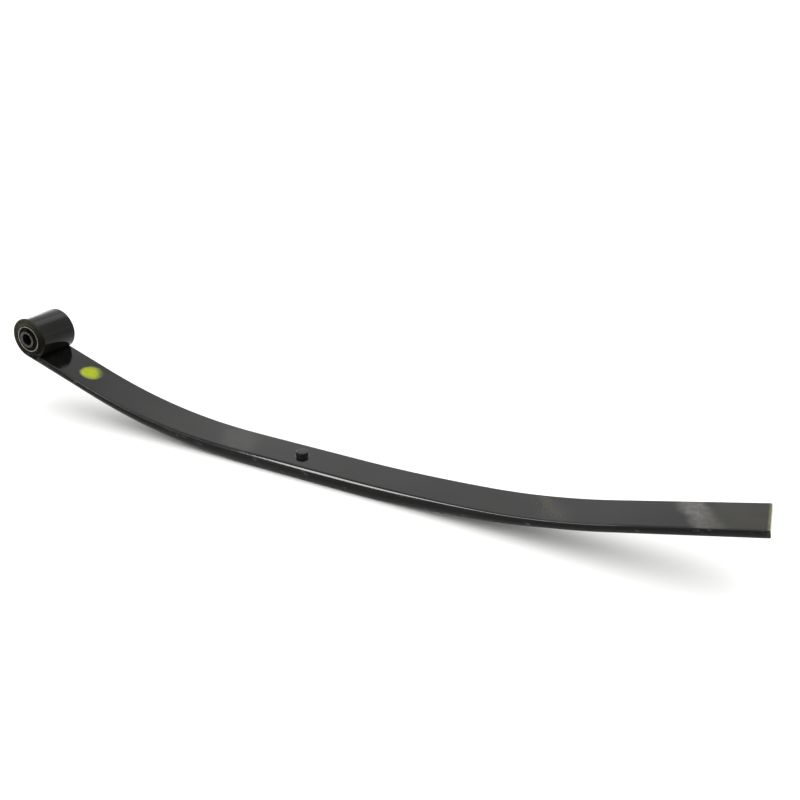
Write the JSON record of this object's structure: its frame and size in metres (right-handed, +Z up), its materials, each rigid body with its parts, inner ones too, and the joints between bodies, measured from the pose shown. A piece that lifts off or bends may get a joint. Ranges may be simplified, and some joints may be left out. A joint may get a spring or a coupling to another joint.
{
  "type": "leaf spring",
  "caption": "Single tapered leaf spring with a rolled eye and bonded rubber bush at one end, a plain slipper tail at the other and a locating dowel on the seat.",
  "frame": {"origin": "where the locating dowel's axis meets the seat's top face", "axes": "+X along the seat towards the slipper tail, +Y across the bar, +Z up, out of the seat's concave side along the dowel"},
  "size_m": [1.017, 0.065, 0.138],
  "materials": {
    "black_paint": "semi-gloss black paint over hot-rolled spring steel, with a dab of yellow-green inspection paint near the eye",
    "dowel_paint": "black paint over turned steel",
    "sleeve_steel": "bare drawn steel with a bright cut edge",
    "bush_rubber": "matt moulded black rubber",
    "tube_steel": "oil-darkened steel with a bright chamfer"
  },
  "bodies": {
    "seat": {"leaf_seat": "black_paint", "centre_dowel": "dowel_paint"},
    "front_limb": {"leaf_front_limb": "black_paint", "bush_outer_sleeve": "sleeve_steel", "bush_rubber": "bush_rubber"},
    "rear_limb": {"leaf_rear_limb": "black_paint"},
    "inner_tube": {"bush_inner_tube": "tube_steel"}
  },
  "joints": [
    {"name": "front_limb_flex", "type": "hinge", "parent": "seat", "child": "front_limb", "pos_m": [-0.26206, 0, 0.01119], "axis": [0, -1, 0], "range_deg": [-3, 14], "stiffness_Nm_per_rad": 5600},
    {"name": "rear_limb_flex", "type": "hinge", "parent": "seat", "child": "rear_limb", "pos_m": [0.31224, 0, 0.00842], "axis": [0, 1, 0], "range_deg": [0, 14], "stiffness_Nm_per_rad": 4400},
    {"name": "bush_twist", "type": "hinge", "parent": "front_limb", "child": "inner_tube", "pos_m": [-0.43517, 0, 0.08953], "axis": [0, 1, 0], "range_deg": [-20, 20], "stiffness_Nm_per_rad": 195}
  ]
}
